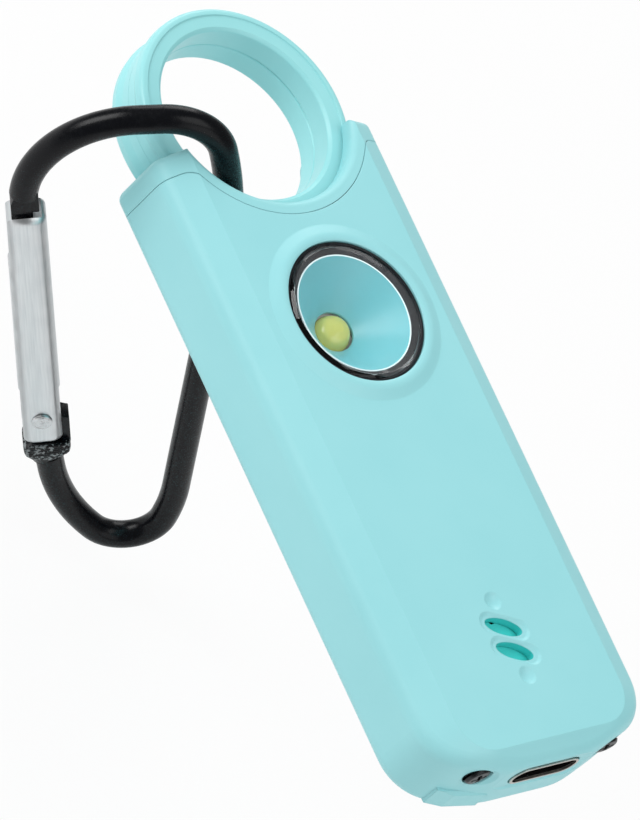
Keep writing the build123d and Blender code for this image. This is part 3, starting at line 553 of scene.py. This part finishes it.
dome_profile = rounded(
    [
        ((0, lamp_dome_z), 0),
        ((1.95, lamp_dome_z), 0.04),
        ((1.95, lamp_dome_z + 0.35), 0.3),
        ((1.45, lamp_dome_z + 1.2), 1.0),
        ((0.55, lamp_dome_z + 1.48), 0.9),
        ((0, lamp_dome_z + 1.5), 0),
    ],
    0.04,
)
dome_shape = turned(dome_profile, lens_place, 96)
make_piece("lamp_drop", dome_shape, "case", "yellow_phosphor", ["lamp_dome"], sharp=60)


# Lower end


def cross_screw(place):
    """Screw head as a square grid drawn onto a disc: across is u times the root
    of 1 less half v squared, and the same the other way. Its height is a low
    dome, rounded off at the rim, less a cross whose arms deepen inwards."""
    line = np.linspace(-1, 1, 91)
    u, v = np.meshgrid(line, line, indexing="ij")
    x = u * np.sqrt(1 - v * v / 2) * screw_head_radius
    y = v * np.sqrt(1 - u * u / 2) * screw_head_radius
    radius = np.hypot(x, y)
    height = screw_head_height - 0.1 * (radius / screw_head_radius) ** 2
    height = height - 0.3 * np.clip((radius - 1.15) / 0.35, 0, 1) ** 2.2
    arm_half_width = 0.17
    arm_reach = 0.78
    arm = np.minimum(
        np.clip((np.abs(x) - arm_half_width) / 0.09, 0, 1) + np.clip((np.abs(y) - arm_reach) / 0.12, 0, 1),
        np.clip((np.abs(y) - arm_half_width) / 0.09, 0, 1) + np.clip((np.abs(x) - arm_reach) / 0.12, 0, 1),
    )
    height = height - 0.55 * (1 - np.clip(arm, 0, 1)) * (1 - 0.45 * radius / 0.9).clip(0.35, 1)
    cap = grid(place.put(np.stack([x, y, height], -1)))
    side_corners = [((0, 0), 0), ((screw_head_radius, 0), 0.05), ((screw_head_radius, 0.35), 0)]
    side = rounded(side_corners, 0.05, closed=False)
    angle = np.linspace(0, 2 * np.pi, 128, endpoint=False)[:, None]
    wall = np.stack([side[:, 0] * np.cos(angle), side[:, 0] * np.sin(angle), side[:, 1] + 0 * angle], -1)
    shank_corners = [
        ((0, 0.05), 0),
        ((screw_shank_radius, 0.05), 0),
        ((screw_shank_radius, 0.2 - screw_length), 0.2),
        ((0, -screw_length), 0),
    ]
    shank = rounded(shank_corners, 0.1)
    return together(cap, grid(place.put(wall), True, False), turned(shank, place, 40))


screw_places = [
    Place((side * screw_x, screw_seat_y, screw_z), (0.94, 0, 0.34), (-0.34, 0, 0.94), (0, -1, 0))
    for side in (-1, 1)
]
make_piece(
    "cross_screws",
    together(*[cross_screw(place) for place in screw_places]),
    "case",
    "black_screw",
    ["end_screws"],
    sharp=50,
)


# Carabiner

wire_path = rounded(loop_corners, 0.45, closed=False)
around = np.linspace(0, 2 * np.pi, 40, endpoint=False)
wire_section = np.stack([wire_radius * np.cos(around), wire_radius * np.sin(around)], -1)
loop_wire = carried(wire_path, wire_section, clip)


def block_shape():
    """Block below the gate: a squared oval whose half widths, thickness and
    squareness run from the flat top down to the round wire. Its fine pressed
    knurl is the product of two sines, of the height plus and less the way
    across."""
    along = np.linspace(0, 1, 60)[:, None]
    angle = np.linspace(0, 2 * np.pi, 160, endpoint=False)[None, :]
    y = block_top - block_length * along
    shoulder = np.clip((along - 0.38) / 0.62, 0, 1)
    ease = shoulder * shoulder * (3 - 2 * shoulder)
    left = 2.25 + (1.5 - 2.25) * ease
    right = 2.95 + (1.5 - 2.95) * ease
    thick = 1.78 + (1.5 - 1.78) * ease
    power = 2 / (5.5 + (2 - 5.5) * ease)
    cos, sin = np.cos(angle), np.sin(angle)
    wide = np.sign(cos) * np.abs(cos) ** power
    deep = np.sign(sin) * np.abs(sin) ** power
    knurl = 0.05 * np.sin(9.5 * (y + wide * 2.2)) * np.sin(9.5 * (y - wide * 2.2)) * (1 - ease)
    half = np.where(wide > 0, right, left)
    x = wide * (half + knurl * np.abs(wide))
    z = deep * (thick + knurl)
    rows = np.stack([x, y + 0 * x, z], -1)
    top = rows[:1] * [0.86, 1, 0.86] + [0, 0.12, 0]
    first = np.broadcast_to(top.mean(1, keepdims=True), top.shape)
    last = np.broadcast_to(rows[-1:].mean(1, keepdims=True), rows[-1:].shape)
    return grid(gate.put(np.concatenate([first, top, rows, last])), False, True)


tab_outline = rounded(
    [
        ((-1.5, 35.4), 0.3),
        ((-1.1, 36.5), 0.4),
        ((1.5, 37.2), 0.3),
        ((1.5, 34.1), 0.15),
        ((0.8, 34.1), 0.05),
        ((0.8, 31.5), 0.3),
        ((-1.5, 31.5), 0.3),
    ]
)
tang_outline = rounded(
    [
        ((-1.4, -4.9), 0),
        ((-1.4, 1.4), 1.38),
        ((1.4, 1.4), 1.38),
        ((1.4, -0.7), 0.05),
        ((3.0, -0.7), 0.2),
        ((3.0, -4.9), 0),
    ]
)
frame_shape = together(
    loop_wire,
    slab(tab_outline, -tang_half_thickness, tang_half_thickness, 0.08, gate),
    block_shape(),
    slab(tang_outline, -tang_half_thickness, tang_half_thickness, 0.1, gate),
)
make_piece("loop_frame", frame_shape, "carabiner", "black_wire", ["carabiner_frame"])


def rivet_head(side):
    """Rivet head as rings round the rivet: a low dome with a shallow pressed
    swirl, its depth a sine of twice the angle less a turn that grows with the
    radius, and with a fine groove near the rim."""
    radius = np.linspace(0, 1, 40)[:, None]
    angle = np.linspace(0, 2 * np.pi, 96, endpoint=False)[None, :]
    rim = np.clip((radius - 0.8) / 0.2, 0, 1)
    swirl = np.clip(np.sin(2 * angle - 5 * radius + 0.8), 0, 1) ** 1.5
    ring_mark = np.exp(-(((radius - 0.78) / 0.05) ** 2))
    height = rivet_head_height - 0.06 * radius**2 - 0.2 * (1 - np.sqrt(1 - rim**2 * 0.999))
    swirl_share = np.clip(1.2 - radius * 1.5, 0, 1) * np.clip(radius * 6, 0, 1)
    height = height - 0.09 * swirl * swirl_share - 0.05 * ring_mark
    x = rivet_head_radius * radius * np.cos(angle)
    y = rivet_head_radius * radius * np.sin(angle)
    base = side * (gate_half_thickness + rivet_clearance)
    top = np.stack([x, y, base + side * height], -1)
    foot = np.stack([x[-1:], y[-1:], base + 0 * x[-1:]], -1)
    middle = foot * [0, 0, 1]
    return grid(gate.put(np.concatenate([top, foot, middle])), False, True)


pin_reach = 1.9
pin_corners = [(0, -pin_reach), (rivet_radius, -pin_reach), (rivet_radius, pin_reach), (0, pin_reach)]
pin = rounded([(corner, 0) for corner in pin_corners])
make_piece(
    "pressed_rivet",
    together(rivet_head(1), rivet_head(-1), turned(pin, gate, 48)),
    "carabiner",
    "silver_rivet",
    ["gate_rivet"],
    sharp=60,
)


# Camera, light and floor

view_rows = np.array(
    [
        [0.75914309, -0.4073272, 0.50772662],
        [0.15613499, 0.87118567, 0.46546471],
        [-0.63192059, -0.27408042, 0.72495261],
    ]
)
camera_data = bpy.data.cameras.new("camera")
camera_data.lens = 352.5
camera_data.sensor_width = 36
camera_data.clip_start = 0.05
camera_data.clip_end = 20
camera = bpy.data.objects.new("camera", camera_data)
bpy.context.scene.collection.objects.link(camera)
turned_to = Matrix([[float(v) for v in row] for row in view_rows.T]).to_4x4()
turned_to.translation = (-0.5361, -0.2225, 0.6141)
camera.matrix_world = turned_to
bpy.context.scene.camera = camera
view_middle = np.array([0, 8.5, 6.0])


def soft_box(name, right, up, near, size, power):
    """A square lamp at a place told from the camera's side: right, up and
    towards the camera from the middle of the case, facing that middle."""
    lamp = bpy.data.lights.new(name, "AREA")
    lamp.size = size
    lamp.energy = power
    holder = bpy.data.objects.new(name, lamp)
    spot = (view_middle + np.array([right, up, near]) @ view_rows) * MM
    out = np.array([right, up, near]) @ view_rows
    out = out / np.linalg.norm(out)
    side = np.cross([0.1, 0.2, 1.0], out)
    side /= np.linalg.norm(side)
    axes = np.stack([side, np.cross(out, side), out], -1)
    place = Matrix([[float(v) for v in row] for row in axes]).to_4x4()
    place.translation = [float(v) for v in spot]
    holder.matrix_world = place
    bpy.context.scene.collection.objects.link(holder)


soft_box("key", -260, 420, 330, 0.34, 1.9)
soft_box("fill", 420, 60, 380, 0.4, 0.8)
soft_box("rim", 120, 520, -160, 0.3, 0.7)
soft_box("low", 340, -330, 230, 0.36, 0.35)

# The room is white to the camera and through the window, and dimmer to other rays
world = bpy.data.worlds.new("studio")
bpy.context.scene.world = world
world.use_nodes = True
sky = world.node_tree
background = sky.nodes["Background"]
ray = sky.nodes.new("ShaderNodeLightPath")
seen = sky.nodes.new("ShaderNodeMath")
seen.operation = "MAXIMUM"
level = sky.nodes.new("ShaderNodeMapRange")
level.inputs["To Min"].default_value = 0.45
level.inputs["To Max"].default_value = 1.0
sky.links.new(ray.outputs["Is Camera Ray"], seen.inputs[0])
sky.links.new(ray.outputs["Is Transmission Ray"], seen.inputs[1])
sky.links.new(seen.outputs[0], level.inputs["Value"])
dimmed = sky.nodes.new("ShaderNodeMath")
dimmed.operation = "MULTIPLY_ADD"
dimmed.inputs[1].default_value = -0.3
sky.links.new(ray.outputs["Is Glossy Ray"], dimmed.inputs[0])
sky.links.new(level.outputs["Result"], dimmed.inputs[2])
sky.links.new(dimmed.outputs[0], background.inputs["Strength"])
background.inputs["Color"].default_value = (1, 1, 1, 1)

floor_mesh = bpy.data.meshes.new("floor")
floor_z = -0.056
floor_corners = [(-6, -6, floor_z), (6, -6, floor_z), (6, 6, floor_z), (-6, 6, floor_z)]
floor_mesh.from_pydata(floor_corners, [], [(0, 1, 2, 3)])
floor = bpy.data.objects.new("floor", floor_mesh)
bpy.context.scene.collection.objects.link(floor)
pale = bpy.data.materials.new("pale_floor")
pale.use_nodes = True
paper = pale.node_tree
paper_shader = paper.nodes["Principled BSDF"]
paper_shader.inputs["Base Color"].default_value = (0.9, 0.9, 0.9, 1)
paper_shader.inputs["Roughness"].default_value = 0.9
glow = paper.nodes.new("ShaderNodeEmission")
glow.inputs["Strength"].default_value = 1.0
paper_ray = paper.nodes.new("ShaderNodeLightPath")
paper_seen = paper.nodes.new("ShaderNodeMath")
paper_seen.operation = "MAXIMUM"
share = paper.nodes.new("ShaderNodeMapRange")
share.inputs["To Min"].default_value = 0.0
share.inputs["To Max"].default_value = 0.9
paper_mix = paper.nodes.new("ShaderNodeMixShader")
paper.links.new(paper_ray.outputs["Is Camera Ray"], paper_seen.inputs[0])
paper.links.new(paper_ray.outputs["Is Transmission Ray"], paper_seen.inputs[1])
paper.links.new(paper_seen.outputs[0], share.inputs["Value"])
paper.links.new(share.outputs["Result"], paper_mix.inputs["Fac"])
paper.links.new(paper_shader.outputs["BSDF"], paper_mix.inputs[1])
paper.links.new(glow.outputs["Emission"], paper_mix.inputs[2])
paper.links.new(paper_mix.outputs["Shader"], paper.nodes["Material Output"].inputs["Surface"])
floor_mesh.materials.append(pale)

bpy.context.scene.view_settings.view_transform = "Standard"

bpy.context.view_layer.update()
